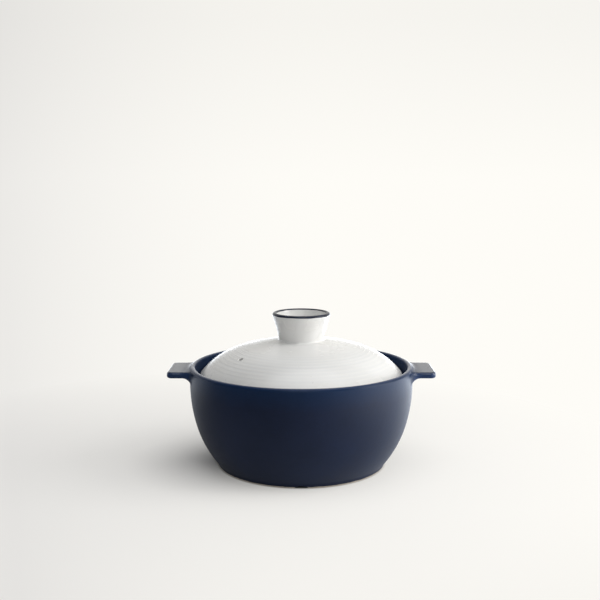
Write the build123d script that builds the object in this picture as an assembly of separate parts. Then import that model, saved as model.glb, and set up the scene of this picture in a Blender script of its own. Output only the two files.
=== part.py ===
# Small clay pot with a lid (donabe), millimetres, +Z up.
# The origin is the centre of the foot ring, on the surface that the pot stands on.
# The two lug handles lie along X, and the front with the first air notch faces -Y.

import math
import os

from build123d import *

os.makedirs("parts", exist_ok=True)

# Bowl, outside
pot_height = 90.7
belly_radius = 100.4
lip_thickness = 5.1
knee_height_share = 0.419
knee_draw = 5.3
crease_draw = 17.9

# Bowl, inside
wall_thickness = 6.0
floor_thickness = 6.0

# Ledge inside the rim, which carries the lid
ledge_drop = 10.7
ledge_width = 9.2
ledge_thickness = 4.0
ledge_haunch = 8.0
ledge_nose = 1.2
gallery_flare = 2.1

# Foot ring and its air notches
foot_height = 4.0
foot_taper = 1.9
foot_width = 6.0
foot_recess = 3.0
notch_width = 12.8
notch_height = 2.5
notch_count = 3

# Lug handles
handle_length = 19.1
handle_width = 46.0
handle_thickness = 5.6
handle_drop = 3.1
handle_corner = 5.0
handle_edge = 2.0
side_root_curve = 12.0
under_root_curve = 7.0
top_root_curve = 8.0
top_root_rise = 1.6

# Lid
lid_height = 33.7
lid_play = 2.2
dome_thickness = 5.0
crown_radius = 56.0
crown_curve = 210.0
lid_nose = 2.6
seat_width = 4.2

# Throwing rings on the shoulder of the lid
ring_count = 9
ring_pitch = 4.3
ring_depth = 0.3
ring_start = 6.5

# Steam hole through the lid
steam_hole_diameter = 4.6
steam_hole_run = 9.9
steam_hole_turn = -143.5

# Hollow knob
knob_height = 24.5
knob_base_radius = 19.9
knob_lip_radius = 26.1
knob_wall = 4.3
knob_waist_draw = 0.6
knob_root_curve = 1.5
knob_floor_curve = 3.0
knob_glaze_depth = 1.7

# A curve that runs out onto another clay surface goes this far into it, so that no edge is feather-thin
root_bite = 0.4

# Inside the wall, a handle's roots run straight on to this depth, at this angle to the wall in degrees
root_depth = 3.0
root_lean = 12.0

# Cutters pass the clay by this much
overrun = 2.0

# Heights and radii that several pieces share
touch_radius = belly_radius - root_bite
handle_end = belly_radius + handle_length
handle_top = pot_height - handle_drop
handle_bottom = handle_top - handle_thickness
belly_height = handle_bottom - under_root_curve
knee_height = knee_height_share * pot_height
knee_radius = belly_radius - knee_draw
crease_radius = knee_radius - crease_draw
lip_curve = lip_thickness / 2
ledge_height = pot_height - ledge_drop
rim_inner_radius = belly_radius - lip_thickness
gallery_radius = rim_inner_radius - gallery_flare
ledge_inner_radius = gallery_radius - ledge_width
lid_radius = gallery_radius - lid_play
crown_height = ledge_height + lid_height


def at(radius, height):
    """A point of a profile, which turns about the pot's axis."""
    return Vector(radius, 0, height)


def heading(angle):
    """The direction in the profile's plane at an angle from straight out, upwards positive."""
    return at(math.cos(angle), math.sin(angle))


def turned(*edges):
    """The solid that a closed profile makes when it turns about the pot's axis."""
    return revolve(make_face(list(edges)), Axis.Z)


# The wall leaves the belly straight down and leans in by this angle at the knee
wall_lean = 2 * math.atan2(belly_radius - knee_radius, belly_height - knee_height)
wall_curve = (belly_height - knee_height) / math.sin(wall_lean)
wall_centre = at(belly_radius - wall_curve, belly_height)


def wall_point(lean, depth):
    """The point at a depth inside the wall's outer arc, where the wall leans in by an angle."""
    return wall_centre + heading(-lean) * (wall_curve - depth)


def make_bowl():
    """Bowl with its ledge, rounded lip, rounded inside corner, foot ring and air notches."""
    knee = wall_point(wall_lean, 0)
    belly = at(belly_radius, belly_height)
    crease = at(crease_radius, foot_height)
    lip_outside = at(belly_radius, pot_height - lip_curve)
    lip_crest = at(belly_radius - lip_curve, pot_height)
    lip_inside = at(rim_inner_radius, pot_height - lip_curve)
    gallery_foot = at(gallery_radius, ledge_height)
    nose_top = at(ledge_inner_radius + ledge_nose, ledge_height)
    nose_front = at(ledge_inner_radius, ledge_height - ledge_nose)
    nose_bottom = at(ledge_inner_radius, ledge_height - ledge_thickness)
    haunch_drop = belly_height - ledge_height + ledge_thickness + ledge_haunch
    haunch_lean = math.asin(haunch_drop / (wall_curve - wall_thickness))
    haunch = wall_point(haunch_lean, wall_thickness)
    inner_knee = wall_point(wall_lean, wall_thickness)
    floor_height = foot_recess + floor_thickness
    corner_turn = math.pi / 2 - wall_lean
    corner_run = (inner_knee.Z - floor_height) / math.tan(corner_turn / 2)
    floor_edge = at(inner_knee.X - corner_run, floor_height)
    foot_outside = at(crease_radius - foot_taper, 0)
    foot_inside = at(crease_radius - foot_taper - foot_width, 0)
    recess_corner = at(crease_radius - foot_taper - foot_width, foot_recess)
    bowl = turned(
        Line(foot_outside, crease),
        TangentArc(knee, crease, tangent=heading(-math.pi / 2 - wall_lean)),
        TangentArc(belly, knee, tangent=heading(-math.pi / 2)),
        Line(belly, lip_outside),
        TangentArc(lip_outside, lip_crest, tangent=heading(math.pi / 2)),
        TangentArc(lip_crest, lip_inside, tangent=heading(math.pi)),
        Line(lip_inside, gallery_foot),
        Line(gallery_foot, nose_top),
        TangentArc(nose_top, nose_front, tangent=heading(math.pi)),
        Line(nose_front, nose_bottom),
        Line(nose_bottom, haunch),
        TangentArc(haunch, inner_knee, tangent=heading(-math.pi / 2 - haunch_lean)),
        TangentArc(floor_edge, inner_knee, tangent=heading(0)),
        Line(floor_edge, at(0, floor_height)),
        Line(at(0, floor_height), at(0, foot_recess)),
        Line(at(0, foot_recess), recess_corner),
        Line(recess_corner, foot_inside),
        Line(foot_inside, foot_outside),
    )
    # each notch is the top of a lying cylinder, which gives it an arched roof
    notch_curve = (notch_width**2 / 4 + notch_height**2) / (2 * notch_height)
    notch_length = foot_width + foot_taper + 2 * overrun
    notch_middle = crease_radius - foot_width / 2 - foot_taper / 2
    notch = Pos(notch_middle, 0, notch_height - notch_curve) * Rot(0, 90, 0)
    notch = notch * Cylinder(notch_curve, notch_length)
    for place in PolarLocations(0, notch_count, start_angle=-90):
        bowl = bowl - place * notch
    return bowl


def make_handle_section():
    """The handle's upright section all round: level tongue with curved roots above and below."""
    far = math.hypot(handle_end, handle_width / 2) + overrun
    lean = math.radians(root_lean)
    # the upper root curve climbs the wall by its rise, the lower one turns almost along the wall
    top_turn = math.acos(1 - top_root_rise / top_root_curve)
    top_start = at(touch_radius + top_root_curve * math.sin(top_turn), handle_top)
    top_end = at(touch_radius, handle_top + top_root_rise)
    top_inside = top_end + heading(math.pi - top_turn) * root_depth
    under_start = at(touch_radius + under_root_curve * math.cos(lean), handle_bottom)
    under_end = at(touch_radius, belly_height + under_root_curve * math.sin(lean))
    under_inside = under_end + heading(-math.pi / 2 - lean) * 2 * root_depth / math.sin(lean)
    return turned(
        TangentArc(top_start, top_end, tangent=heading(math.pi)),
        Line(top_end, top_inside),
        Line(top_start, at(far, handle_top)),
        Line(at(far, handle_top), at(far, handle_bottom)),
        Line(at(far, handle_bottom), under_start),
        TangentArc(under_start, under_end, tangent=heading(math.pi)),
        Line(under_end, under_inside),
        Line(under_inside, top_inside),
    )


def make_handle_plan():
    """The handle seen from above, as an upright block: square tongue that flares into the wall."""
    half = handle_width / 2
    lean = math.radians(root_lean)
    # the flare's centre stands where its curve meets the wall's circle at the root's angle
    flare_side = half + side_root_curve
    flare_meeting = 2 * touch_radius * side_root_curve * math.cos(lean)
    flare_reach = math.sqrt(touch_radius**2 + side_root_curve**2 + flare_meeting)
    flare_run = math.sqrt(flare_reach**2 - flare_side**2)
    wall_turn = math.atan2(flare_side, flare_run)
    wall_turn = wall_turn - math.asin(side_root_curve * math.sin(lean) / flare_reach)
    flare_start = Vector(flare_run, half)
    flare_end = Vector(math.cos(wall_turn), math.sin(wall_turn)) * touch_radius
    inward_turn = wall_turn + math.pi / 2 + lean
    flare_inside = Vector(math.cos(inward_turn), math.sin(inward_turn)) * root_depth / math.sin(lean)
    flare_inside = flare_end + flare_inside
    one_side = [
        TangentArc(flare_start, flare_end, tangent=(-1, 0)),
        Line(flare_end, flare_inside),
        Line(flare_start, (handle_end, half)),
        Line(Vector(), flare_inside),
    ]
    other_side = [mirror(edge, Plane.XZ) for edge in one_side]
    end = Line((handle_end, half), (handle_end, -half))
    plan = make_face([*one_side, *other_side, end])
    plan = fillet(plan.vertices().group_by(Axis.X)[-1], handle_corner)
    return extrude(plan, 2 * pot_height)


def make_handle():
    """The right lug: the level tongue, rounded along its edges and cut to the bowl's outside."""
    lug = make_handle_section() & make_handle_plan()
    # the rounding starts at the two edges of the free end and follows the outline into the wall
    lug = fillet(lug.edges().filter_by(Axis.Y), handle_edge)
    return lug - Cylinder(belly_radius, 3 * pot_height)


# The crown of the lid is a shallow cap, and the shoulder is a tighter arc that leaves it tangentially
# and ends tangentially on the lid's rounded nose
crown_lean = math.asin(crown_radius / crown_curve)
crown_centre = at(0, crown_height - crown_curve)
crown_edge = crown_centre + heading(math.pi / 2 - crown_lean) * crown_curve
nose_centre = at(lid_radius - lid_nose, ledge_height + lid_nose)
crown_normal = heading(math.pi / 2 - crown_lean)
nose_to_crown = crown_edge - nose_centre
shoulder_curve = (nose_to_crown.length**2 - lid_nose**2) / 2
shoulder_curve = shoulder_curve / (nose_to_crown.dot(crown_normal) - lid_nose)
shoulder_centre = crown_edge - crown_normal * shoulder_curve


def dome_point(run, depth):
    """A point inside the dome's skin, at a run along the skin outwards from the crown's edge."""
    centre = shoulder_centre if run > 0 else crown_centre
    curve = shoulder_curve if run > 0 else crown_curve
    lean = crown_lean + run / curve
    return centre + heading(math.pi / 2 - lean) * (curve - depth)


def make_lid_dome():
    """Lid: crown, shoulder with throwing rings, rounded nose, flat seat and a parallel underside."""
    apex = at(0, crown_height)
    nose_touch = nose_centre + (nose_centre - shoulder_centre).normalized() * lid_nose
    shoulder_slope = (nose_centre - shoulder_centre).normalized()
    shoulder_heading = at(shoulder_slope.Z, -shoulder_slope.X)
    seat_outside = at(nose_centre.X, ledge_height)
    seat_inside = at(nose_centre.X - seat_width, ledge_height)
    under_curve = shoulder_curve - dome_thickness
    under_run = seat_inside.X - shoulder_centre.X
    under_edge = at(seat_inside.X, shoulder_centre.Z + math.sqrt(under_curve**2 - under_run**2))
    under_knee = dome_point(0, dome_thickness)
    # each ring is a shallow trough between two ridges that stay on the dome's skin
    ridges = [dome_point(ring * ring_pitch - ring_start, 0) for ring in range(ring_count + 1)]
    troughs = [dome_point((ring + 0.5) * ring_pitch - ring_start, ring_depth) for ring in range(ring_count)]
    rings = [ThreePointArc(*points) for points in zip(ridges, troughs, ridges[1:])]
    dome = turned(
        TangentArc(apex, ridges[0], tangent=heading(0)),
        *rings,
        ThreePointArc(ridges[-1], arc_middle(ridges[-1], nose_touch), nose_touch),
        TangentArc(nose_touch, seat_outside, tangent=shoulder_heading),
        Line(seat_outside, seat_inside),
        Line(seat_inside, under_edge),
        TangentArc(under_knee, under_edge, tangent=heading(-crown_lean)),
        TangentArc(at(0, crown_height - dome_thickness), under_knee, tangent=heading(0)),
        Line(at(0, crown_height - dome_thickness), apex),
    )
    return dome - make_steam_drill()


def arc_middle(start, end):
    """The point of the shoulder's arc halfway between two of its points."""
    return shoulder_centre + (start + end - shoulder_centre * 2).normalized() * shoulder_curve


def make_steam_drill():
    """The steam hole's cutter, square to the lid's skin where it passes."""
    mouth = dome_point(steam_hole_run, 0)
    inward = (shoulder_centre - mouth).normalized()
    start = mouth - inward * overrun
    length = dome_thickness + 2 * overrun
    circle = Plane(start, z_dir=inward) * Circle(steam_hole_diameter / 2)
    return Rot(0, 0, steam_hole_turn) * extrude(circle, length)


def crown_top(radius):
    """The height of the crown's skin at a radius."""
    return crown_centre.Z + math.sqrt(crown_curve**2 - radius**2)


def make_knob():
    """Hollow knob and its glazed lip: flared wall, rounded lip, curved roots in and out."""
    crest = crown_height + knob_height
    lip = knob_wall / 2
    inner_base_radius = knob_base_radius - knob_wall
    root_radius = knob_base_radius + knob_root_curve
    inner_root_radius = inner_base_radius - knob_floor_curve
    # both root curves end one bite below the crown's skin, where the crown cuts them off
    root = at(root_radius, crown_top(root_radius) - root_bite)
    inner_root = at(inner_root_radius, crown_top(inner_root_radius) - root_bite)
    base = at(knob_base_radius, root.Z + knob_root_curve)
    inner_base = at(inner_base_radius, inner_root.Z + knob_floor_curve)
    lip_outside = at(knob_lip_radius, crest - lip)
    lip_crest = at(knob_lip_radius - lip, crest)
    lip_inside = at(knob_lip_radius - knob_wall, crest - lip)
    waist = (base + lip_outside) / 2 - at(knob_waist_draw, 0)
    inner_waist = (inner_base + lip_inside) / 2 - at(knob_waist_draw, 0)
    whole = turned(
        TangentArc(root, base, tangent=heading(math.pi)),
        ThreePointArc(base, waist, lip_outside),
        ThreePointArc(lip_outside, lip_crest, lip_inside),
        ThreePointArc(lip_inside, inner_waist, inner_base),
        TangentArc(inner_root, inner_base, tangent=heading(0)),
        Line(inner_root, root),
    )
    crown = Pos(crown_centre) * Sphere(crown_curve)
    whole = whole - crown
    glaze_edge = Plane.XY.offset(crest - knob_glaze_depth)
    wall = split(whole, bisect_by=glaze_edge, keep=Keep.BOTTOM)
    glaze = split(whole, bisect_by=glaze_edge, keep=Keep.TOP)
    return wall, glaze


right_handle = make_handle()
left_handle = mirror(right_handle, Plane.YZ)
knob, knob_glaze = make_knob()

export_step(make_bowl(), "parts/pot_bowl.step")
export_step(right_handle, "parts/handle_right.step")
export_step(left_handle, "parts/handle_left.step")
export_step(make_lid_dome(), "parts/lid_dome.step")
export_step(knob, "parts/lid_knob.step")
export_step(knob_glaze, "parts/knob_rim_glaze.step")
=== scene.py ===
import bpy
import numpy as np
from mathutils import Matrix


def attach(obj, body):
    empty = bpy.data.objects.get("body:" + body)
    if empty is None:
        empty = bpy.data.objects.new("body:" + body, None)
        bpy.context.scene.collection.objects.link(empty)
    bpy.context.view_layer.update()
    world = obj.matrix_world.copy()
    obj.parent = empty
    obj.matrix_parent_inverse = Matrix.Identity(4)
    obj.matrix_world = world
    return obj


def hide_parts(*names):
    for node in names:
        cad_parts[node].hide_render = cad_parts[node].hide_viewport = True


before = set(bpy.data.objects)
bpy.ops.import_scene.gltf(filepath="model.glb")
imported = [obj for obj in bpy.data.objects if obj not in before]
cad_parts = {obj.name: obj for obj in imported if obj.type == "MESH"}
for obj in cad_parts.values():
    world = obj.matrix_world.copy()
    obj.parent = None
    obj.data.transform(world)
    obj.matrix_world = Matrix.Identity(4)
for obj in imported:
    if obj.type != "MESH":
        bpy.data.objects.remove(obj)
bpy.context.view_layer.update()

millimetre = 0.001
scene = bpy.context.scene


def point(radius, height):
    return np.array([radius, height], float)


# the point is centre + radius * (cos, sin) of an angle that runs evenly from start to stop, in degrees
def arcPoints(centre, radius, start, stop, count):
    angle = np.radians(np.linspace(start, stop, count))
    return centre + radius * np.stack([np.cos(angle), np.sin(angle)], axis=-1)


# the circle through three points, walked from the first past the middle one to the last:
# its centre is as far from all three, which is two linear equations
def arcThrough(first, middle, last, count):
    sides = np.array([middle - first, last - first])
    centre = first + np.linalg.solve(2 * sides, (sides ** 2).sum(axis=1))
    turns = np.degrees(np.unwrap(np.arctan2(*(np.array([first, middle, last]) - centre).T[::-1])))
    return arcPoints(centre, np.hypot(*(first - centre)), turns[0], turns[2], count)


# the arc that leaves the first point in a given direction and ends at the last one: its centre lies
# square to the direction, at chord squared over twice the chord's share along that normal
def arcLeaving(first, direction, last, count):
    normal = np.array([-direction[1], direction[0]]) / np.hypot(*direction)
    chord = last - first
    centre = first + normal * (chord @ chord) / (2 * chord @ normal)
    turns = np.unwrap([np.arctan2(*(first - centre)[::-1]), np.arctan2(*(last - centre)[::-1])])
    return arcPoints(centre, np.hypot(*(first - centre)), *np.degrees(turns), count)


# a soft corner: (1-t)^2 * start + 2t(1-t) * corner + t^2 * end, start and end a cut away from the corner
def softCorner(before, corner, after, cut, count=6):
    start = corner + (before - corner) / np.hypot(*(before - corner)) * cut
    end = corner + (after - corner) / np.hypot(*(after - corner)) * cut
    t = np.linspace(0, 1, count)[:, None]
    return (1 - t) ** 2 * start + 2 * t * (1 - t) * corner + t ** 2 * end


# straight run from one point to another, without its two ends
def straight(first, last, count):
    return first + (last - first) * np.linspace(0, 1, count + 2)[1:-1, None]


# each column of points is walked by length: the point at a share of the whole length lies between the
# two neighbours whose summed lengths enclose it
def alongPaths(paths, shares):
    steps = np.linalg.norm(np.diff(paths, axis=0), axis=-1)
    walked = np.concatenate([np.zeros((1, steps.shape[1])), np.cumsum(steps, axis=0)])
    wanted = shares[:, None] * walked[-1]
    after = (walked[None, :, :] < wanted[:, None, :] - 1e-9).sum(axis=1).clip(1, len(walked) - 1)
    low = np.take_along_axis(walked, after - 1, 0)
    high = np.take_along_axis(walked, after, 0)
    part = ((wanted - low) / np.maximum(high - low, 1e-12)).clip(0, 1)[..., None]
    start = np.take_along_axis(paths, (after - 1)[..., None], 0)
    end = np.take_along_axis(paths, after[..., None], 0)
    return start + (end - start) * part


# quads between neighbouring rows and columns; columns close on themselves, and so may rows
def gridFaces(rows, columns, closedRows=False):
    row = np.arange(rows if closedRows else rows - 1)[:, None]
    column = np.arange(columns)[None, :]
    rowNext, columnNext = (row + 1) % rows, (column + 1) % columns
    corners = [row * columns + column, row * columns + columnNext,
               rowNext * columns + columnNext, rowNext * columns + column]
    return np.stack([np.broadcast_to(corner, (row.size, columns)) for corner in corners], axis=-1)


# a mesh from points in millimetres and a list of face arrays, each with its own count of corners;
# points that no face uses are dropped
def makeMesh(name, points, faceSets, attributes=None):
    mesh = bpy.data.meshes.new(name)
    corners = np.concatenate([faces.reshape(-1) for faces in faceSets])
    sizes = np.concatenate([np.full(faces.reshape(-1, faces.shape[-1]).shape[0], faces.shape[-1])
                            for faces in faceSets])
    used, corners = np.unique(corners, return_inverse=True)
    mesh.vertices.add(len(used))
    mesh.vertices.foreach_set("co", (points[used] * millimetre).astype(np.float32).ravel())
    mesh.loops.add(len(corners))
    mesh.loops.foreach_set("vertex_index", corners.astype(np.int32))
    mesh.polygons.add(len(sizes))
    mesh.polygons.foreach_set("loop_start", (np.cumsum(sizes) - sizes).astype(np.int32))
    mesh.polygons.foreach_set("loop_total", sizes.astype(np.int32))
    mesh.polygons.foreach_set("use_smooth", np.ones(len(sizes), bool))
    for label, values in (attributes or {}).items():
        layer = mesh.attributes.new(label, "FLOAT", "POINT")
        layer.data.foreach_set("value", values[used].astype(np.float32))
    mesh.update(calc_edges=True)
    mesh.validate()
    piece = bpy.data.objects.new(name, mesh)
    scene.collection.objects.link(piece)
    return piece


# the fan that closes a row round one middle point; flip turns its faces over
def poleFaces(pole, ring, flip):
    ringNext = np.roll(ring, -1)
    pair = (ringNext, ring) if flip else (ring, ringNext)
    return np.stack([np.full(ring.size, pole), *pair], axis=-1)


# the pot's and the lugs' measures in millimetres and degrees
pot = {
    "height": 90.7,
    "bellyRadius": 100.4,
    "bellyHeight": 75.0,
    "kneeRadius": 95.1,
    "kneeHeight": 38.0,
    "creaseRadius": 77.2,
    "lip": 2.55,
    "wall": 6.0,
    "floorHeight": 9.0,
    "galleryRadius": 93.2,
    "ledgeHeight": 80.0,
    "ledgeRadius": 84.0,
    "ledgeThickness": 4.0,
    "haunch": 8.0,
    "footHeight": 4.0,
    "footOutside": 75.3,
    "footInside": 69.3,
    "footRecess": 3.0,
    "footSoftness": 0.9,
    "notchWidth": 12.8,
    "notchHeight": 2.5,
    "notchAngles": (270, 30, 150),
    "notchReach": 8.0,
    "notchBlend": 0.06,
    "noNotch": -9.0,
    "recessStop": 1.5,
    "recessCut": 1.4,
    "insideCut": 1.2,
    "galleryStop": 1.4,
}
lug = {
    "end": 119.5,
    "halfWidth": 23.0,
    "corner": 5.0,
    "top": 87.6,
    "bottom": 82.0,
    "edge": 2.0,
    "sideRoot": 12.0,
    "underRoot": 7.0,
    "topRoot": 8.0,
    "topRise": 1.6,
}


# half of a lug's outline seen from above, from the middle of its end to where it touches the wall:
# straight end, quarter-circle corner, straight side, and a flare whose circle touches the wall's circle.
# Returns the outline, the direction into the lug, and the angle on the wall that each point belongs to
def lugOutline():
    half, corner, root = lug["halfWidth"], lug["corner"], lug["sideRoot"]
    wall = pot["bellyRadius"]
    flareY = half + root
    flareX = np.sqrt((wall + root) ** 2 - flareY ** 2)
    flare = np.array([flareX, flareY])
    touch = 180 + np.degrees(np.arctan2(flareY, flareX))
    cornerMiddle = np.array([lug["end"] - corner, half - corner])
    endSide = np.linspace([lug["end"], 0], [lug["end"], half - corner], 7)[:-1]
    cornerSide = arcPoints(cornerMiddle, corner, 0, 90, 9)
    side = straight(np.array([lug["end"] - corner, half]), np.array([flareX, half]), 4)
    flareSide = arcPoints(flare, root, 270, touch, 17)
    plan = np.concatenate([endSide, cornerSide, side, flareSide])
    inward = np.concatenate([
        np.tile([-1.0, 0.0], (len(endSide), 1)),
        (cornerMiddle - cornerSide) / corner,
        np.tile([0.0, -1.0], (len(side), 1)),
        (flareSide - flare) / root,
    ])
    walked = np.concatenate([[0], np.cumsum(np.hypot(*np.diff(plan, axis=0).T))])
    angle = np.degrees(np.arctan2(plan[:, 1], plan[:, 0]))
    flareStart = len(plan) - len(flareSide)
    angle[:flareStart] = angle[flareStart] * walked[:flareStart] / walked[flareStart]
    return plan, inward, angle, flare


# how far a point of the plan lies inside the lug's outline: from the flare's circle near the wall, and
# from the rounded rectangle further out
def insideLug(plan, flare):
    across = np.abs(plan[..., 1])
    fromFlare = np.hypot(plan[..., 0] - flare[0], across - flare[1]) - lug["sideRoot"]
    sideways = across - (lug["halfWidth"] - lug["corner"])
    outwards = plan[..., 0] - (lug["end"] - lug["corner"])
    beyond = np.hypot(np.maximum(sideways, 0), np.maximum(outwards, 0))
    fromBox = lug["corner"] - beyond - np.minimum(np.maximum(sideways, outwards), 0)
    return np.where(plan[..., 0] < flare[0], fromFlare, fromBox).clip(0)


# the drop of a rounded edge at a distance inside it: r - sqrt(r^2 - (r - distance)^2)
def edgeDrop(distance, radius):
    short = (radius - distance).clip(0, radius)
    return radius - np.sqrt(radius ** 2 - short ** 2)


# the columns' spacing round the pot in degrees, and the counts and shares of the rows that make the lugs
potGrid = {
    "startGap": 1.0,
    "stopGap": 0.6,
    "step": 1.2,
    "notchGap": 7.0,
    "notchStart": 6.9,
    "notchStep": 0.46,
    "planSteps": 90,
    "edgeSteps": 24,
    "edgeDepth": 2.6,
    "wallSteps": 8,
    "lipSteps": 40,
    "underRows": 28,
    "sideRows": 5,
    "overRows": 38,
    "underPower": 1.7,
    "rootKeep": 0.99,
    "behindReach": 0.9,
    "footShare": 0.24,
    "rowsPastFoot": 2,
}


# angles of the plain wall between two lugs, a step apart from start + gap to stop - gap, and a finer step
# apart at the foot's notches
def wallAngles(start, stop):
    notches = np.array([angle for angle in pot["notchAngles"] if start < angle < stop])
    angles = np.arange(start + potGrid["startGap"], stop - potGrid["stopGap"], potGrid["step"])
    near = np.abs(angles[:, None] - notches[None, :]).min(axis=1) < potGrid["notchGap"]
    fine = [np.arange(notch - potGrid["notchStart"], notch + potGrid["notchGap"], potGrid["notchStep"])
            for notch in notches]
    return np.sort(np.concatenate([angles[~near], *fine]))


# the columns right round the pot: lug outline points inside the two lugs, and plain wall points between
def potColumns():
    plan, inward, angle, flare = lugOutline()
    mirrorY = np.array([1, -1])
    rightPlan = np.concatenate([plan[:0:-1] * mirrorY, plan])
    rightInward = np.concatenate([inward[:0:-1] * mirrorY, inward])
    rightAngle = np.concatenate([-angle[:0:-1], angle])
    edge = angle[-1]

    def wallColumns(degrees):
        turn = np.radians(degrees)
        outward = np.stack([np.cos(turn), np.sin(turn)], axis=-1)
        return outward * pot["bellyRadius"], -outward, degrees

    leftPlan = rightPlan * np.array([-1, 1])
    leftInward = rightInward * np.array([-1, 1])
    back, front = wallColumns(wallAngles(edge, 180 - edge)), wallColumns(wallAngles(180 + edge, 360 - edge))
    outline = np.concatenate([rightPlan, back[0], leftPlan[::-1], front[0]])
    direction = np.concatenate([rightInward, back[1], leftInward[::-1], front[1]])
    degrees = np.concatenate([rightAngle, back[2], 180 - rightAngle[::-1], front[2]])
    return outline, direction, np.radians(degrees), flare


# three paths for each column, walked by length: along the underside from the wall to the outline, up the
# lug's side, and back over the top to the crest of the lip. Heights are the lug's level faces with the
# drop of their rounded edges, and curved roots r - sqrt(r^2 - (r - x)^2) at a distance x from the wall.
# Where there is no lug all three stay on the wall, so the same rows serve the whole pot
def lugRows(outline, direction, turn, flare):
    wall, lip = pot["bellyRadius"], pot["lip"]
    outward = np.stack([np.cos(turn), np.sin(turn)], axis=-1)
    reach = np.hypot(*outline.T) - wall
    depth = np.minimum(potGrid["edgeDepth"], 0.5 * reach)[:, None]
    inner = outline + direction * depth
    foot = outward * wall
    along = np.linspace(0, 1, potGrid["planSteps"])[:, None, None]
    edgeAlong = np.linspace(0, 1, potGrid["edgeSteps"])[1:, None, None]
    planPath = np.concatenate([foot + (inner - foot) * along, inner + (outline - inner) * edgeAlong])
    fold = np.abs(planPath)
    fromWall = (np.hypot(fold[..., 0], fold[..., 1]) - wall).clip(0)
    inside = insideLug(fold, flare)
    rounding = edgeDrop(inside, lug["edge"])
    rounding = np.where(reach > 1e-6, rounding, lug["edge"])
    under = lug["bottom"] - edgeDrop(fromWall, lug["underRoot"]) + rounding
    topRoot = lug["topRoot"]
    rootRun = np.sqrt(topRoot ** 2 - (topRoot - lug["topRise"]) ** 2)

    def rootHeight(distance):
        short = (rootRun - distance).clip(0, topRoot * potGrid["rootKeep"])
        return lug["top"] + topRoot - np.sqrt(topRoot ** 2 - short ** 2)

    over = rootHeight(fromWall) - rounding
    lift = np.linspace(0, 1, potGrid["wallSteps"])[:, None]
    wallUp = pot["bellyHeight"] + (under[0] - pot["bellyHeight"]) * lift[:-1]
    footPath = np.broadcast_to(foot, (len(lift) - 1, *foot.shape))
    underPath = np.concatenate([
        np.concatenate([footPath, wallUp[..., None]], axis=-1),
        np.concatenate([planPath, under[..., None]], axis=-1),
    ])
    lipBase = pot["height"] - lip
    lugAtWall = over[0]
    wallTop = lugAtWall + (np.maximum(lugAtWall, lipBase) - lugAtWall) * lift[1:]
    lipTurn = np.radians(np.linspace(0, 90, potGrid["lipSteps"]))[1:, None]
    lipX = lip * (np.cos(lipTurn) - 1)
    lugBehind = rootHeight(lipX) - rounding[0]
    lipZ = lipBase + lip * np.sin(lipTurn)
    lipZ = np.where(lipX > -potGrid["behindReach"], np.maximum(lipZ, lugBehind), lipZ)
    lipPlan = outward * (wall + lipX)[..., None]
    overPath = np.concatenate([
        np.concatenate([planPath, over[..., None]], axis=-1)[::-1],
        np.concatenate([np.broadcast_to(foot, (len(wallTop), *foot.shape)), wallTop[..., None]], axis=-1),
        np.concatenate([lipPlan, lipZ[..., None]], axis=-1),
    ])
    underShares = 1 - (1 - np.linspace(0, 1, potGrid["underRows"])) ** potGrid["underPower"]
    even = np.linspace(0, 1, potGrid["overRows"])
    overShares = 0.5 * (0.5 - 0.5 * np.cos(np.pi * even)) + 0.5 * even
    lower, upper = alongPaths(underPath, underShares), alongPaths(overPath, overShares)
    side = lower[-1] + (upper[0] - lower[-1]) * np.linspace(0, 1, potGrid["sideRows"])[1:-1, None, None]
    return np.concatenate([lower, side, upper])


# how far, in millimetres, the glaze's masks reach: thin on edges, smooth on the lugs' tops and the crest,
# deeper, bluer and darker inside the rim, where the darker colour is a painted shade
glaze = {
    "crestReach": 1.3,
    "edgeReach": 1.1,
    "lugStart": 0.5,
    "lugFade": 3.0,
    "thinRows": 12,
    "smoothRows": 6,
    "smoothLow": 0.25,
    "smoothRise": 0.45,
    "smoothRun": 10.0,
    "smoothCrest": 0.75,
    "smoothReach": 0.45,
    "innerFade": 2.0,
    "innerTop": 0.3,
    "innerTopFade": 1.5,
}


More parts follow.
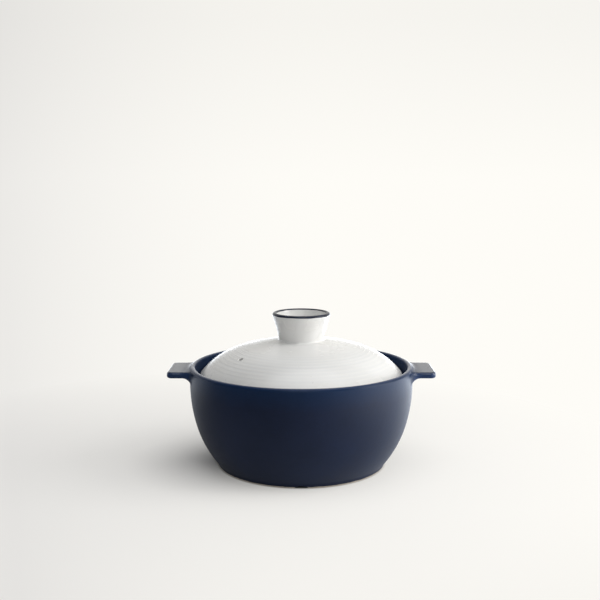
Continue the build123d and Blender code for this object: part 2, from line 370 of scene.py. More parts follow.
# one skin from the middle of the underside, out over the foot, up the wall, round the lugs and the lip,
# down the gallery and the ledge, and along the inner wall to the middle of the floor. All but the lug
# rows are a profile turned about the axis, and the foot's rows are lifted over each notch's arch
def makePot():
    outline, direction, turn, flare = potColumns()
    columns = len(turn)
    crease = point(pot["creaseRadius"], pot["footHeight"])
    knee = point(pot["kneeRadius"], pot["kneeHeight"])
    belly = point(pot["bellyRadius"], pot["bellyHeight"])
    lean = 2 * np.arctan2(belly[0] - knee[0], belly[1] - knee[1])
    wallCurve = (belly[1] - knee[1]) / np.sin(lean)
    wallMiddle = point(belly[0] - wallCurve, belly[1])
    footOutside, footInside = point(pot["footOutside"], 0), point(pot["footInside"], 0)
    recess = point(pot["footInside"], pot["footRecess"])
    soft, cut = pot["footSoftness"], pot["insideCut"]
    below = np.concatenate([
        straight(point(0, recess[1]), recess - point(pot["recessStop"], 0), 7),
        softCorner(point(0, recess[1]), recess, footInside, pot["recessCut"]),
        softCorner(recess, footInside, footOutside, soft),
        straight(footInside + point(soft, 0), footOutside - point(soft, 0), 3),
        softCorner(footInside, footOutside, crease, soft),
        straight(footOutside + (crease - footOutside) * potGrid["footShare"], crease, 3),
    ])
    shoulder = arcLeaving(knee, np.array([-np.sin(lean), -np.cos(lean)]), crease, 26)[::-1]
    wallArc = arcPoints(wallMiddle, wallCurve, -np.degrees(lean), 0, 20)[1:-1]
    lipInside = point(pot["bellyRadius"] - 2 * pot["lip"], pot["height"] - pot["lip"])
    lipMiddle = lipInside + point(pot["lip"], 0)
    gallery = point(pot["galleryRadius"], pot["ledgeHeight"])
    nose = point(pot["ledgeRadius"], pot["ledgeHeight"])
    noseLow = nose - point(0, pot["ledgeThickness"])
    innerCurve = wallCurve - pot["wall"]
    haunchLean = np.arcsin((belly[1] - noseLow[1] + pot["haunch"]) / innerCurve)
    innerArc = arcPoints(wallMiddle, innerCurve, -np.degrees(haunchLean), -np.degrees(lean), 16)
    innerKnee, haunch = innerArc[-1], innerArc[0]
    turnLeft = np.pi / 2 - lean
    cornerRun = (innerKnee[1] - pot["floorHeight"]) / np.tan(turnLeft / 2)
    floorEdge = point(innerKnee[0] - cornerRun, pot["floorHeight"])
    corner = arcLeaving(floorEdge, np.array([1.0, 0.0]), innerKnee, 20)[::-1]
    inside = np.concatenate([
        arcPoints(lipMiddle, pot["lip"], 90, 180, 9)[1:],
        straight(lipInside, gallery + point(0, pot["galleryStop"]), 3),
        softCorner(lipInside, gallery, nose, cut),
        straight(gallery - point(cut, 0), nose + point(cut, 0), 4),
        softCorner(gallery, nose, noseLow, cut),
        softCorner(nose, noseLow, haunch, cut),
        straight(noseLow, haunch, 4),
        innerArc,
        corner[1:],
        straight(floorEdge, point(0, pot["floorHeight"]), 8),
    ])
    outward = np.stack([np.cos(turn), np.sin(turn)], axis=-1)

    def turned(profile):
        rows = np.empty((len(profile), columns, 3))
        rows[..., :2] = profile[:, None, :1] * outward
        rows[..., 2] = profile[:, 1:2]
        return rows

    lower = turned(np.concatenate([below, shoulder, wallArc]))
    lugs = lugRows(outline, direction, turn, flare)
    grid = np.concatenate([lower, lugs, turned(inside)])
    foot = len(below) + potGrid["rowsPastFoot"]
    # the arch's height at a distance a sideways is sqrt(r^2 - a^2) - r + h, and the foot takes the greater
    # of its own height and the arch's, with a soft join
    curve = (pot["notchWidth"] ** 2 / 4 + pot["notchHeight"] ** 2) / (2 * pot["notchHeight"])
    for notch in np.radians(pot["notchAngles"]):
        across = grid[:foot, :, 1] * np.cos(notch) - grid[:foot, :, 0] * np.sin(notch)
        along = grid[:foot, :, 0] * np.cos(notch) + grid[:foot, :, 1] * np.sin(notch)
        arch = np.sqrt((curve ** 2 - across ** 2).clip(0)) - curve + pot["notchHeight"]
        arch = np.where(along > pot["footInside"] - pot["notchReach"], arch, pot["noNotch"])
        height = grid[:foot, :, 2]
        grid[:foot, :, 2] = 0.5 * (height + arch + np.sqrt((height - arch) ** 2 + pot["notchBlend"]))
    grid[:foot, :, 2] -= grid[:foot, :, 2].min()
    # glaze is thin on the lip's crest and the lugs' edges, smooth on the crest and the lugs' level tops,
    # and deeper between the ledge and the crest, where its darker colour is a painted shade. A mask falls off
    # as exp(-(distance / reach)^2)
    first, last = len(lower), len(lower) + len(lugs)
    plan, height = np.abs(grid[..., :2]), grid[..., 2]
    reach = np.hypot(plan[..., 0], plan[..., 1]) - pot["bellyRadius"]
    crest = np.exp(-((height - pot["height"]) / glaze["crestReach"]) ** 2)
    outlineReach = np.hypot(*outline.T) - pot["bellyRadius"]
    onLug = (outlineReach / glaze["lugFade"]).clip(0, 1) * (reach > glaze["lugStart"])
    lugEdge = np.exp(-(insideLug(plan, flare) / glaze["edgeReach"]) ** 2) * onLug
    thin = np.maximum(crest, lugEdge)
    thin[last + glaze["thinRows"]:] = 0
    thin[:first] = 0
    top = slice(last - potGrid["overRows"], last + glaze["smoothRows"])
    smooth = np.zeros_like(thin)
    share = (reach[top] / glaze["smoothRun"]).clip(0, 1)
    smooth[top] = onLug[top] * (glaze["smoothLow"] + glaze["smoothRise"] * share)
    crest = np.exp(-((height - pot["height"]) / glaze["smoothReach"]) ** 2)
    smooth = np.maximum(smooth, glaze["smoothCrest"] * crest)
    # painted shade: this inner mask also darkens the colour in the gap between the rim and the lid
    inner = np.zeros_like(thin)
    inner[last:] = ((height[last:] - pot["ledgeHeight"]) / glaze["innerFade"]).clip(0, 1)
    inner[last:] *= ((pot["height"] - glaze["innerTop"] - height[last:]) / glaze["innerTopFade"]).clip(0, 1)
    rows = len(grid)
    points = np.concatenate([grid.reshape(-1, 3), [[0, 0, pot["footRecess"]], [0, 0, pot["floorHeight"]]]])
    faces = [gridFaces(rows, columns),
             poleFaces(rows * columns, np.arange(columns), True),
             poleFaces(rows * columns + 1, np.arange((rows - 1) * columns, rows * columns), False)]
    masks = {"thinGlaze": thin, "smoothGlaze": smooth, "innerGlazeAndShade": inner}
    masks = {label: np.concatenate([mask.ravel(), [0, 0]]) for label, mask in masks.items()}
    return makeMesh("potSkin", points, faces, masks)


potSkin = makePot()
print("pot skin:", len(potSkin.data.polygons), "faces")


# the measures of the lid, its knob and the glazed line on the knob's lip, in millimetres and degrees
lid = {
    "crownHeight": 113.7,
    "crownRadius": 56.0,
    "crownCurve": 210.0,
    "radius": 91.0,
    "nose": 2.6,
    "seatWidth": 4.2,
    "thickness": 5.0,
    "ringStart": -6.5,
    "ringPitch": 4.3,
    "ringCount": 9,
    "ringDepth": 0.11,
    "ringSoftness": 0.06,
    "ringWander": 0.35,
    "ringFadeIn": 1.2,
    "ringFadeOut": 0.8,
    "holeRun": 9.9,
    "holeAngle": -143.5,
    "holeRadius": 2.3,
    "holeSoftness": 0.7,
    "holeStep": 0.62,
    "holeHalf": 8,
    "holeKeep": 4,
    "columns": 294,
    "ringRows": (-27, 38),
    "seatStop": 0.8,
    "seatCut": 0.7,
    "middleStop": 3.0,
}
knob = {
    "height": 24.5,
    "baseRadius": 19.9,
    "lipRadius": 26.1,
    "wall": 4.3,
    "waistDraw": 0.6,
    "rootCut": 2.2,
    "floorCut": 3.4,
    "glazeBed": 0.05,
}
lipGlaze = {
    "outsideAngle": 0.0,
    "insideAngle": 154.0,
    "wander": 2.4,
    "thickness": 0.4,
    "edgeThickness": 0.16,
    "edgeShare": 0.08,
    "columns": 288,
    "rows": 26,
}

crownLean = np.arcsin(lid["crownRadius"] / lid["crownCurve"])
crownMiddle = point(0, lid["crownHeight"] - lid["crownCurve"])
crownNormal = point(np.sin(crownLean), np.cos(crownLean))
crownEdge = crownMiddle + crownNormal * lid["crownCurve"]
noseMiddle = point(lid["radius"] - lid["nose"], pot["ledgeHeight"] + lid["nose"])
toCrown = crownEdge - noseMiddle
shoulderCurve = (toCrown @ toCrown - lid["nose"] ** 2) / (2 * (toCrown @ crownNormal - lid["nose"]))
shoulderMiddle = crownEdge - crownNormal * shoulderCurve
noseSlope = (noseMiddle - shoulderMiddle) / np.hypot(*(noseMiddle - shoulderMiddle))
shoulderLength = (np.arctan2(noseSlope[0], noseSlope[1]) - crownLean) * shoulderCurve


# radius and height of the lid's skin at a run from the crown's edge and a depth inside it: the crown's
# circle for runs inwards, the shoulder's tighter circle for runs outwards
def domeSkin(run, depth):
    outer = run > 0
    curve = np.where(outer, shoulderCurve, lid["crownCurve"])
    lean = crownLean + run / curve
    radius = np.where(outer, shoulderMiddle[0], crownMiddle[0]) + np.sin(lean) * (curve - depth)
    height = np.where(outer, shoulderMiddle[1], crownMiddle[1]) + np.cos(lean) * (curve - depth)
    return radius, height


# depth of the throwing rings at a run and a turn: shallow waves sqrt(sin^2 + softness) between ridges a
# pitch apart, a little off true and of uneven depth, fading in and out at the first and last ring
def ringDepth(run, turn):
    wander = lid["ringWander"] * (np.sin(turn + 1.1) + 0.5 * np.sin(2 * turn + run / 6))
    place = (run - lid["ringStart"] + wander) / lid["ringPitch"]
    scallop = np.sqrt(np.sin(np.pi * place) ** 2 + lid["ringSoftness"]) - np.sqrt(lid["ringSoftness"])
    uneven = 1 + 0.15 * np.sin(3 * np.floor(place) + 2) + 0.2 * np.sin(2 * turn + run / 3)
    fadeIn = (place / lid["ringFadeIn"]).clip(0, 1)
    fadeOut = ((lid["ringCount"] - place) / lid["ringFadeOut"]).clip(0, 1)
    return lid["ringDepth"] * scallop * uneven * (fadeIn * fadeOut)


# the profile turned about the axis, from the hollow of the knob over its lip to the lid's shoulder, round
# the nose, along the seat and back under the dome. A square of cells on each side of the dome is bent so
# that its middle squares become circles, and a tube of the same corners joins the two: the steam hole
def makeLid():
    step, half, keep = lid["holeStep"], lid["holeHalf"], lid["holeKeep"]
    hole, holeRow = np.radians(lid["holeAngle"]), lid["holeRun"]
    holeMiddle = domeSkin(np.array(holeRow), 0)[0]
    cell = step / holeMiddle
    fine = hole + cell * np.arange(-half, half + 1)
    rest = np.linspace(fine[-1], fine[0] + 2 * np.pi, lid["columns"])[1:-1]
    turn = np.concatenate([fine, rest])
    columns = len(turn)

    crest = lid["crownHeight"] + knob["height"]
    lipCurve = knob["wall"] / 2
    lipMiddle = point(knob["lipRadius"] - lipCurve, crest - lipCurve)

    def crownAt(radius):
        return point(radius, crownMiddle[1] + np.sqrt(lid["crownCurve"] ** 2 - radius ** 2))

    base, innerBase = crownAt(knob["baseRadius"]), crownAt(knob["baseRadius"] - knob["wall"])
    lipOutside, lipInside = lipMiddle + point(lipCurve, 0), lipMiddle - point(lipCurve, 0)
    draw = point(knob["waistDraw"], 0)
    wallOut = arcThrough(lipOutside, (base + lipOutside) / 2 - draw, base, 18)
    wallIn = arcThrough(innerBase, (innerBase + lipInside) / 2 - draw, lipInside, 16)
    rootCut, floorCut = knob["rootCut"], knob["floorCut"]
    keepIn = wallIn[wallIn[:, 1] > innerBase[1] + floorCut]
    keepOut = wallOut[wallOut[:, 1] > base[1] + rootCut]
    rootEnd = crownAt(base[0] + rootCut)
    upper = np.concatenate([
        np.stack([crownAt(lid["middleStop"] * share) for share in (1, 2, 3)]),
        softCorner(crownAt(lid["middleStop"]), innerBase, keepIn[0], floorCut, 7),
        keepIn[1:-1],
        arcPoints(lipMiddle, lipCurve - knob["glazeBed"], 180, 0, 17),
        keepOut[1:-1],
        softCorner(keepOut[-1], base, rootEnd, rootCut, 7),
    ])
    startRun = -(crownLean - np.arcsin(rootEnd[0] / lid["crownCurve"])) * lid["crownCurve"]
    ringRuns = holeRow + step * np.arange(*lid["ringRows"])
    crownRuns = np.linspace(startRun, ringRuns[0], 18)[1:-1]
    bandRuns = np.linspace(ringRuns[-1], shoulderLength, 8)[1:]
    outerRuns = np.concatenate([crownRuns, ringRuns, bandRuns])
    holeRuns = holeRow + step * np.arange(-half, half + 1)
    seatOut = point(noseMiddle[0], pot["ledgeHeight"])
    seatIn = seatOut - point(lid["seatWidth"], 0)
    noseStart = np.degrees(np.arctan2(noseSlope[1], noseSlope[0]))
    underEnd = np.arcsin((seatIn[0] - shoulderMiddle[0]) / (shoulderCurve - lid["thickness"]))
    underLength = (underEnd - crownLean) * shoulderCurve
    underTop = point(*domeSkin(np.array(underLength), lid["thickness"]))
    rim = np.concatenate([
        arcPoints(noseMiddle, lid["nose"], noseStart, -90, 12)[1:],
        straight(seatOut, seatIn + point(lid["seatStop"], 0), 2),
        softCorner(seatOut, seatIn, underTop, lid["seatCut"], 5),
        straight(seatIn + point(0, lid["seatCut"]), underTop, 2),
    ])
    centreRun = -crownLean * lid["crownCurve"]
    underRuns = np.concatenate([
        np.linspace(underLength, holeRuns[-1], 14)[:-1],
        holeRuns[::-1],
        np.linspace(holeRuns[0], centreRun + lid["middleStop"], 22)[1:],
    ])

    # the square's rings turned into circles, in millimetres along the run and across it
    i, j = np.meshgrid(np.arange(-half, half + 1), np.arange(-half, half + 1), indexing="ij")
    ring = np.maximum(np.abs(i), np.abs(j))
    safe = np.maximum(ring, 1)
    angle = np.arctan2(j / safe, i / safe)
    mouth = lid["holeRadius"] + lid["holeSoftness"]
    share = ((ring - keep) / (half - keep)).clip(0, 1)
    radius = mouth * np.minimum(ring / keep, 1)
    circleX, circleY = np.cos(angle) * radius, np.sin(angle) * radius
    bentX = circleX * (1 - share) + i * step * share
    bentY = circleY * (1 - share) + j * step * share

    def skinRows(runs, depth, holeRuns):
        run = np.tile(runs[:, None], (1, columns)).astype(float)
        around = np.tile(turn[None, :], (len(runs), 1))
        first = int(np.argmin(np.abs(runs - holeRuns[0])))
        rows = slice(first, first + 2 * half + 1)
        patch = slice(0, 2 * half + 1)
        flip = 1 if holeRuns[1] > holeRuns[0] else -1
        run[rows, patch] = holeRow + bentX[::flip]
        around[rows, patch] = hole + bentY[::flip] / holeMiddle
        inside = depth + (ringDepth(run, around) if depth == 0 else 0)
        radius, height = domeSkin(run, inside)
        return np.stack([radius * np.cos(around), radius * np.sin(around), height], axis=-1), first

    def turned(profile):
        rows = np.empty((len(profile), columns, 3))
        rows[..., 0] = profile[:, :1] * np.cos(turn)
        rows[..., 1] = profile[:, :1] * np.sin(turn)
        rows[..., 2] = profile[:, 1:]
        return rows

    outer, outerFirst = skinRows(outerRuns, 0, holeRuns)
    under, underFirst = skinRows(underRuns, lid["thickness"], holeRuns[::-1])
    grid = np.concatenate([turned(upper), outer, turned(rim), under])
    rows = len(grid)
    outerFirst += len(upper)
    underFirst += len(upper) + len(outerRuns) + len(rim)

    quads = gridFaces(rows, columns)
    kept = np.ones((rows - 1, columns), bool)
    for first in (outerFirst, underFirst):
        kept[first + half - keep:first + half + keep, half - keep:half + keep] = False

    # the ring of corners round the hole, taken anticlockwise on the outer skin
    side = np.arange(-keep, keep)
    walkI = np.concatenate([side, np.full(2 * keep, keep), -side, np.full(2 * keep, -keep)])
    walkJ = np.concatenate([np.full(2 * keep, -keep), side, np.full(2 * keep, keep), -side])
    outerRing = (outerFirst + half + walkI) * columns + half + walkJ
    underRing = (underFirst + half - walkI) * columns + half + walkJ
    around = np.arctan2(walkJ, walkI)
    bend = np.radians(np.linspace(0, 90, 6))[1:]
    soft, thick = lid["holeSoftness"], lid["thickness"]
    tubeRadius = np.concatenate([mouth - soft * np.sin(bend), np.full(3, lid["holeRadius"]),
                                 mouth - soft * np.sin(bend[::-1])])
    tubeDepth = np.concatenate([soft * (1 - np.cos(bend)), np.linspace(soft, thick - soft, 5)[1:-1],
                                thick - soft * (1 - np.cos(bend[::-1]))])
    tubeRun = holeRow + tubeRadius[:, None] * np.cos(around)
    tubeTurn = hole + tubeRadius[:, None] * np.sin(around) / holeMiddle
    radius, height = domeSkin(tubeRun, tubeDepth[:, None])
    tube = np.stack([radius * np.cos(tubeTurn), radius * np.sin(tubeTurn), height], axis=-1)
    extra = rows * columns + 2
    tubeIndex = extra + np.arange(tube.shape[0] * tube.shape[1]).reshape(tube.shape[:2])
    rings = np.concatenate([outerRing[None], tubeIndex, underRing[None]])
    nextRing = np.roll(rings, -1, axis=1)
    tubeFaces = np.stack([rings[:-1], nextRing[:-1], nextRing[1:], rings[1:]], axis=-1)

    points = np.concatenate([
        grid.reshape(-1, 3),
        [[0, 0, lid["crownHeight"]], [0, 0, lid["crownHeight"] - lid["thickness"]]],
        tube.reshape(-1, 3),
    ])
    faces = [quads[kept][..., ::-1],
             poleFaces(rows * columns, np.arange(columns), False),
             poleFaces(rows * columns + 1, np.arange((rows - 1) * columns, rows * columns), True),
             tubeFaces]
    pooled = np.zeros((rows, columns))
    outerRows = slice(len(upper), len(upper) + len(outerRuns))
    pooled[outerRows] = ringDepth(outerRuns[:, None], turn[None, :]) / lid["ringDepth"]
    pooledAll = np.concatenate([pooled.ravel(), [0, 0], np.zeros(tube.shape[0] * tube.shape[1])])
    return makeMesh("lidSkin", points, faces, {"pooledGlaze": pooledAll})


# the glaze on the knob's lip: a thin closed ring, an arc over the lip and a smaller arc back inside it,
# whose two edges wander round the knob by sums of sines, as brushed glaze does, and thin out towards the
# edge as 1 - sqrt(1 - (1 - taper)^2)
def makeLipGlaze():
    curve = knob["wall"] / 2
    middle = point(knob["lipRadius"] - curve, lid["crownHeight"] + knob["height"] - curve)
    turn = np.linspace(0, 2 * np.pi, lipGlaze["columns"] + 1)[:-1]
    sway = np.sin(3 * turn + 0.4) + 0.7 * np.sin(7 * turn + 2) + 0.5 * np.sin(16 * turn)
    swayIn = np.sin(2 * turn + 1.9) + 0.8 * np.sin(5 * turn + 0.3) + 0.5 * np.sin(13 * turn + 1)
    start = lipGlaze["outsideAngle"] + lipGlaze["wander"] * sway
    stop = lipGlaze["insideAngle"] + lipGlaze["wander"] * swayIn
    share = np.linspace(0, 1, lipGlaze["rows"])[:, None]
    over = np.radians(start + (stop - start) * share)
    taper = (np.minimum(share, 1 - share) / lipGlaze["edgeShare"]).clip(0, 1)
    outerRadius = curve - lipGlaze["edgeThickness"] * (1 - np.sqrt(1 - (1 - taper) ** 2))
    back = over[::-1][1:-1]
    angle = np.concatenate([over, back])
    radius = np.concatenate([outerRadius, np.full((len(back), 1), curve - lipGlaze["thickness"])])
    across = middle[0] + radius * np.cos(angle)
    height = middle[1] + radius * np.sin(angle)
    grid = np.stack([across * np.cos(turn), across * np.sin(turn), height], axis=-1)
    faces = gridFaces(len(grid), len(turn), closedRows=True)
    return makeMesh("knobLipGlaze", grid.reshape(-1, 3), [faces.reshape(-1, 4)])


lidSkin = makeLid()
knobLipGlaze = makeLipGlaze()
print("lid skin:", len(lidSkin.data.polygons), "faces; lip glaze:", len(knobLipGlaze.data.polygons), "faces")


# a value of a shader that can be written in sums: each operator adds one Math node
class Wire:
    def __init__(self, finish, socket):
        self.finish, self.socket = finish, socket

    def join(self, operation, first, second):
        return self.finish.node("ShaderNodeMath", {"operation": operation}, {0: first, 1: second})

    def __add__(self, other):
        return self.join("ADD", self, other)

    def __radd__(self, other):
        return self.join("ADD", other, self)

    def __sub__(self, other):
        return self.join("SUBTRACT", self, other)

    def __rsub__(self, other):
        return self.join("SUBTRACT", other, self)

    def __mul__(self, other):
        return self.join("MULTIPLY", self, other)

    def __truediv__(self, other):
        return self.join("DIVIDE", self, other)


# the nodes of a material, or of the world when its tree is handed in. Each method but the last adds one
# node and returns its output
class Finish:
    def __init__(self, name, tree=None):
        if tree is None:
            self.material = bpy.data.materials.new(name)
            self.material.use_nodes = True
            tree = self.material.node_tree
        self.tree = tree
        self.tree.nodes.clear()

    # settings come first, because they decide which sockets the node has
    def node(self, kind, settings=None, sockets=None, output=0):
        made = self.tree.nodes.new(kind)
        for name, value in (settings or {}).items():
            setattr(made, name, value)
        for name, value in (sockets or {}).items():
            if isinstance(value, Wire):
                self.tree.links.new(value.socket, made.inputs[name])
            else:
                made.inputs[name].default_value = value
        return Wire(self, made.outputs[output]) if len(made.outputs) else None

    def coordinates(self):
        return self.node("ShaderNodeTexCoord", output="Object")

    def axis(self, coordinates, name):
        return self.node("ShaderNodeSeparateXYZ", None, {0: coordinates}, name)

    def attribute(self, name):
        return self.node("ShaderNodeAttribute", {"attribute_name": name}, None, "Fac")

    def noise(self, coordinates, scale, detail=2.0, roughness=0.5):
        return self.node("ShaderNodeTexNoise", None,
                         {"Vector": coordinates, "Scale": scale, "Detail": detail, "Roughness": roughness})

    # a value taken from one range to another, held at its ends
    def spread(self, value, low, high, start=0.0, stop=1.0):
        return self.node("ShaderNodeMapRange", {"clamp": True},
                         {"Value": value, "From Min": low, "From Max": high, "To Min": start, "To Max": stop})

    def mix(self, factor, first, second):
        colours = {"Factor": factor, 6: first, 7: second}
        return self.node("ShaderNodeMix", {"data_type": "RGBA"}, colours, 2)

    def bump(self, relief, strength, distance):
        return self.node("ShaderNodeBump", None, {"Strength": strength, "Distance": distance, "Height": relief})

    def finish(self, surface):
        self.node("ShaderNodeOutputMaterial", None, {"Surface": surface})
        return self.material


def colour(red, green, blue):
    return (red, green, blue, 1)


navy = {
    "deep": colour(0.0026, 0.0078, 0.0270),
    "cloud": colour(0.0044, 0.0108, 0.0350),
    "rim": colour(0.0012, 0.0140, 0.0500),
    # painted shade: a bluer navy, darker than the rim's, for the gap round the lid
    "inner": colour(0.0004, 0.0125, 0.0460),
    "thin": colour(0.0070, 0.0260, 0.0850),
    "clay": colour(0.56, 0.50, 0.43),
    "grain": colour(0.60, 0.53, 0.44),
    "clayTop": 0.0012,
    "rimBand": (0.072, 0.0885),
    "roughness": 0.47,
    "specular": 0.21,
    "coatRoughness": 0.17,
    "bump": (0.16, 0.0006),
}


# satin navy stoneware glaze: slow clouds of a lighter tone, bluer towards the rim and inside it, with a painted
# shade that darkens it inside the rim, lighter where it is thin, glossier on the crest and the lugs' tops, fine
# orange-peel and pinholes in the bump, and bare clay with a ragged edge on the ring that the pot stands on
def navyGlaze():
    finish = Finish("navySatinGlaze")
    place = finish.coordinates()
    cloud = finish.noise(place, 22, 3, 0.55)
    speckle = finish.noise(place, 1300, 1)
    peel = finish.noise(place, 260)
    height = finish.axis(place, "Z")
    ragged = height + (finish.noise(place, 160, 3, 0.6) - 0.5) * 0.0010
    bare = finish.spread(ragged, navy["clayTop"] - 0.0002, navy["clayTop"] + 0.0002, 1, 0)
    thin, smooth, inner = [finish.attribute(name) for name in ("thinGlaze", "smoothGlaze", "innerGlazeAndShade")]
    broken = finish.spread(finish.noise(place, 330, 4, 0.7) + thin * 0.45, 0.55, 0.95)
    body = finish.mix(finish.spread(cloud, 0.35, 0.68), navy["deep"], navy["cloud"])
    rim = finish.spread(height + (cloud - 0.5) * 0.010, *navy["rimBand"])
    body = finish.mix(rim, body, navy["rim"])
    # painted shade: inside the rim the navy is bluer and darker
    body = finish.mix(inner, body, navy["inner"])
    body = finish.mix(broken * thin * 0.85, body, navy["thin"])
    body = finish.mix(finish.spread(speckle, 0.66, 0.74) * 0.35, body, navy["thin"])
    clay = finish.mix(finish.noise(place, 900, 3, 0.6), navy["clay"], navy["grain"])
    body = finish.mix(bare, body, clay)
    roughness = navy["roughness"] + (cloud - 0.5) * 0.12 + (speckle - 0.5) * 0.08
    roughness = roughness - rim * 0.06 + bare * 0.3 + inner * 0.4
    relief = peel * 0.5 + speckle * 0.18 + cloud * 0.6 + bare * finish.noise(place, 1500) * 2
    surface = finish.node("ShaderNodeBsdfPrincipled", None, {
        "Base Color": body, "Roughness": roughness, "Specular IOR Level": navy["specular"],
        "Normal": finish.bump(relief, *navy["bump"]),
        "Coat Weight": smooth, "Coat Roughness": navy["coatRoughness"]})
    return finish.finish(surface)


white = {
    "glaze": colour(0.76, 0.76, 0.745),
    "warm": colour(0.72, 0.71, 0.68),
    "pooled": colour(0.68, 0.69, 0.69),
    "speck": colour(0.40, 0.35, 0.29),
    "roughness": 0.27,
    "specular": 0.5,
    "bump": (0.06, 0.0006),
}


# satin white glaze: slightly greyer where it pools between the rings, faint warm clouds and rare specks
def whiteGlaze():
    finish = Finish("whiteSatinGlaze")
    place = finish.coordinates()
    cloud = finish.noise(place, 26, 3, 0.55)
    peel = finish.noise(place, 330)
    speck = finish.noise(place, 700, 1, 0.4)
    pooled = finish.attribute("pooledGlaze")
    body = finish.mix(finish.spread(cloud, 0.38, 0.66) * 0.6, white["glaze"], white["warm"])
    body = finish.mix(pooled * 0.55, body, white["pooled"])
    body = finish.mix(finish.spread(speck, 0.775, 0.80) * 0.5, body, white["speck"])
    roughness = white["roughness"] + (cloud - 0.5) * 0.12 - pooled * 0.05
    relief = peel * 0.12 + cloud * 0.2
    surface = finish.node("ShaderNodeBsdfPrincipled", None, {
        "Base Color": body, "Roughness": roughness, "Specular IOR Level": white["specular"],
        "Normal": finish.bump(relief, *white["bump"])})
    return finish.finish(surface)


line = {
    "deep": colour(0.0035, 0.0060, 0.0180),
    "light": colour(0.0090, 0.0170, 0.0450),
    "roughness": 0.30,
    "specular": 0.3,
    "bump": (0.12, 0.0004),
}


# the brushed navy line on the knob's lip: the same blue, glossier, with streaks of thinner glaze
def lineGlaze():
    finish = Finish("navyLipGlaze")
    place = finish.coordinates()
    streak = finish.noise(place, 210, 4, 0.65)
    body = finish.mix(finish.spread(streak, 0.42, 0.72), line["deep"], line["light"])
    roughness = line["roughness"] + (streak - 0.5) * 0.16
    surface = finish.node("ShaderNodeBsdfPrincipled", None, {
        "Base Color": body, "Roughness": roughness, "Specular IOR Level": line["specular"],
        "Normal": finish.bump(streak, *line["bump"])})
    return finish.finish(surface)


potSkin.data.materials.append(navyGlaze())
lidSkin.data.materials.append(whiteGlaze())
knobLipGlaze.data.materials.append(lineGlaze())
print("finishes: navy satin, white satin, navy line")

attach(potSkin, "pot")
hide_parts("pot_bowl", "handle_left", "handle_right")
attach(lidSkin, "lid")
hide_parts("lid_dome", "lid_knob")
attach(knobLipGlaze, "lid")
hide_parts("knob_rim_glaze")


stage = {
    "halfWidth": 6.0,
    "front": -6.0,
    "back": 1.5,
    "bend": 0.9,
    "wallTop": 3.4,
    "floor": colour(0.88, 0.87, 0.855),
    # painted shade: the paper's colour under the foot is dark, so the floor seen through the notches looks
    # shadowed
    "paintedShadeUnderFoot": colour(0.10, 0.10, 0.10),
    # painted light: the paper's own glow is measured from this point left of the pot, so the floor beside its
    # right side is brighter
    "shadeMiddle": (-0.065, 0, 0),
    # painted light: these tones make the paper paler to the right and greyer at the top and in front
    "left": colour(0.835, 0.822, 0.797),
    "right": colour(0.991, 0.975, 0.930),
    "topShade": 0.93,
    "frontShade": 0.95,
    "eyeBack": 0.80,
    "eyeHeight": 0.258,
    "nearest": 0.45,
    "toneBand": (-0.33, 0.06),
    "topBand": (0.0, 0.17),
    "frontBand": (-0.50, -0.38),
    "footBand": (0.0735, 0.0775),
    "nearLight": (0.01, 0.095, 0.0, 0.44),
    "farLight": (0.095, 0.40, 0.0, 0.56),
    # painted reflection: the tone and strengths with which the floor is seen in glosses
    "glossTone": colour(0.86, 0.92, 1.0),
    "glossLean": 0.35,
    "glossAcross": (-0.10, 0.30, 0.2, 3.2),
    "glossBack": (0.0, 0.35, 0.0, 1.7),
    "glossHeight": (0.02, 0.30, 1.0, 0.0),
}


# a seamless sweep: a level floor, a quarter circle and an upright back, the same right across
def makeSweep():
    floor = np.linspace([stage["front"], 0], [stage["back"], 0], 14)
    bend = arcPoints(point(stage["back"], stage["bend"]), stage["bend"], -90, 0, 16)[1:]
    wallX = stage["back"] + stage["bend"]
    back = np.linspace([wallX, stage["bend"]], [wallX, stage["wallTop"]], 6)[1:]
    profile = np.concatenate([floor, bend, back])
    across = np.linspace(-stage["halfWidth"], stage["halfWidth"], 12)
    grid = np.empty((len(profile), len(across), 3))
    grid[..., 0] = across
    grid[..., 1] = profile[:, :1]
    grid[..., 2] = profile[:, 1:]
    row, column = np.arange(len(profile) - 1)[:, None], np.arange(len(across) - 1)[None, :]
    corner = row * len(across) + column
    faces = np.stack([corner, corner + 1, corner + len(across) + 1, corner + len(across)], axis=-1)
    return makeMesh("studioSweep", grid.reshape(-1, 3) / millimetre, [faces])
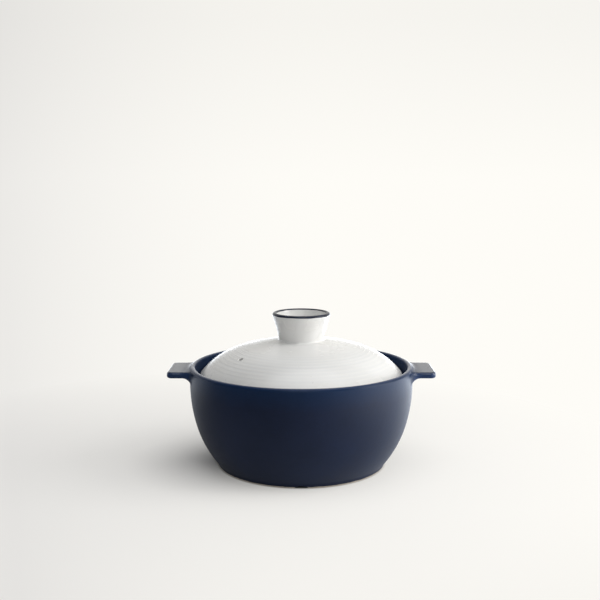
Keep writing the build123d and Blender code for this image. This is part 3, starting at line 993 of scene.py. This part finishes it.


# pale paper: it takes the object's shadow, and rays that see it directly or in a gloss also get its
# photographed tone, paler to the right and a little greyer at the top. That tone is laid out by the place
# over the distance ahead of the photograph's camera, from nothing under the foot to all of it further out.
# In a gloss the floor is a painted reflection: bluish, dim in front and at the left, and glowing brighter than
# white at the right and behind, as the photographer's room is lit
def paper():
    finish = Finish("palePaper")
    place = finish.coordinates()
    apart, deep, high = [finish.axis(place, name) for name in "XYZ"]
    ahead = finish.node("ShaderNodeMath", {"operation": "MAXIMUM"}, {
        0: deep + stage["eyeBack"], 1: stage["nearest"]})
    across, rise = apart / ahead, (high - stage["eyeHeight"]) / ahead
    # painted light: the paper's glow is paler to the right and greyer at the top and at the far front
    right = finish.spread(across, *stage["toneBand"])
    tone = finish.mix(right * (2 - right), stage["left"], stage["right"])
    shade = finish.spread(rise, *stage["topBand"], 1.0, stage["topShade"])
    shade = shade * finish.spread(rise, *stage["frontBand"], stage["frontShade"], 1.0)
    seen = [finish.node("ShaderNodeLightPath", output=name) for name in
            ("Is Camera Ray", "Is Glossy Ray", "Is Transmission Ray")]
    # painted reflection: in glosses the floor glows bluish, weak at the left and in front, up to several times
    # its tone at the right and behind
    gloss = finish.spread(apart + deep * stage["glossLean"], *stage["glossAcross"])
    gloss = gloss + finish.spread(deep, *stage["glossBack"])
    inGloss = seen[1] * finish.spread(high, *stage["glossHeight"])
    shade = shade * (1 + inGloss * (gloss - 1))
    tone = finish.mix(inGloss, tone, stage["glossTone"])
    direct = finish.node("ShaderNodeMath", {"operation": "MINIMUM"}, {0: seen[0] + seen[1] + seen[2], 1: 1.0})
    fromMiddle = finish.node("ShaderNodeVectorMath", {"operation": "LENGTH"}, {0: place}, "Value")
    # painted light: the glow grows from a middle set left of the pot, so it comes closer to the pot on its
    # right side
    fromShade = finish.node("ShaderNodeVectorMath", {"operation": "DISTANCE"}, {
        0: place, 1: stage["shadeMiddle"]}, "Value")
    outside = finish.spread(fromMiddle, *stage["footBand"])
    own = finish.spread(fromShade, *stage["nearLight"]) + finish.spread(fromShade, *stage["farLight"])
    # painted shade: inside the foot's band the matte paper takes the dark colour in place of the floor's
    matte = finish.node("ShaderNodeBsdfDiffuse", None, {
        "Color": finish.mix(outside, stage["paintedShadeUnderFoot"], stage["floor"])})
    light = finish.node("ShaderNodeEmission", None, {"Color": tone, "Strength": shade})
    surface = finish.node("ShaderNodeMixShader", None, {
        0: direct * (outside * own), 1: matte, 2: light})
    return finish.finish(surface)


sweep = makeSweep()
sweep.data.materials.append(paper())

# the room: a little paler on the window's side, and pale where it is seen directly
room = {
    "left": 0.18,
    "right": 0.22,
    "band": (-0.7, 0.8),
    "tint": colour(0.95, 0.97, 1.0),
    "seen": colour(0.90, 0.885, 0.86),
}
world = bpy.data.worlds.new("studioRoom")
world.use_nodes = True
scene.world = world
sky = Finish("studioRoom", world.node_tree)
toward = sky.node("ShaderNodeTexCoord", output="Generated")
level = sky.spread(sky.axis(toward, "X"), *room["band"], room["left"], room["right"])
roomLight = sky.node("ShaderNodeBackground", None, {"Color": room["tint"], "Strength": level})
roomSeen = sky.node("ShaderNodeBackground", None, {"Color": room["seen"], "Strength": 1.0})
cameraRay = sky.node("ShaderNodeLightPath", output="Is Camera Ray")
sky.node("ShaderNodeOutputWorld", None, {
    "Surface": sky.node("ShaderNodeMixShader", None, {0: cameraRay, 1: roomLight, 2: roomSeen})})

# each lamp's place, size, power and colour; all of them face one point inside the pot
lamps = {
    "windowLow": ((0.95, -0.22, 0.21), (0.60, 0.40), 4.8, (1.0, 0.99, 0.975)),
    "windowHigh": ((1.25, -0.10, 1.00), (0.8, 0.8), 8.5, (1.0, 0.985, 0.96)),
    "softTop": ((0.15, -0.20, 1.60), (1.4, 1.4), 10.5, (1.0, 1.0, 1.0)),
    "softFront": ((0.10, -1.80, 0.80), (1.0, 1.0), 6.5, (1.0, 1.0, 1.0)),
}
lampAim = np.array([0, 0, 0.06])
for name, (place, size, power, tint) in lamps.items():
    light = bpy.data.lights.new(name, "AREA")
    light.shape, (light.size, light.size_y) = "RECTANGLE", size
    light.energy, light.color = power, tint
    holder = bpy.data.objects.new(name, light)
    holder.location = place
    away = np.array(place) - lampAim
    holder.rotation_euler = (np.arctan2(np.hypot(away[0], away[1]), away[2]), 0,
                             np.arctan2(away[1], away[0]) + np.pi / 2)
    scene.collection.objects.link(holder)

view = {
    "place": (-0.00117, -0.8014, 0.2580),
    "tiltDown": 7.73,
    "lens": 54.0,
    "sensor": 36.0,
}
camera = bpy.data.objects.new("photoCamera", bpy.data.cameras.new("photoCamera"))
camera.data.lens, camera.data.sensor_width = view["lens"], view["sensor"]
camera.location = view["place"]
camera.rotation_euler = (np.radians(90 - view["tiltDown"]), 0, 0)
scene.collection.objects.link(camera)
scene.camera = camera
scene.view_settings.view_transform = "Standard"
print("stage, lamps and camera are set")
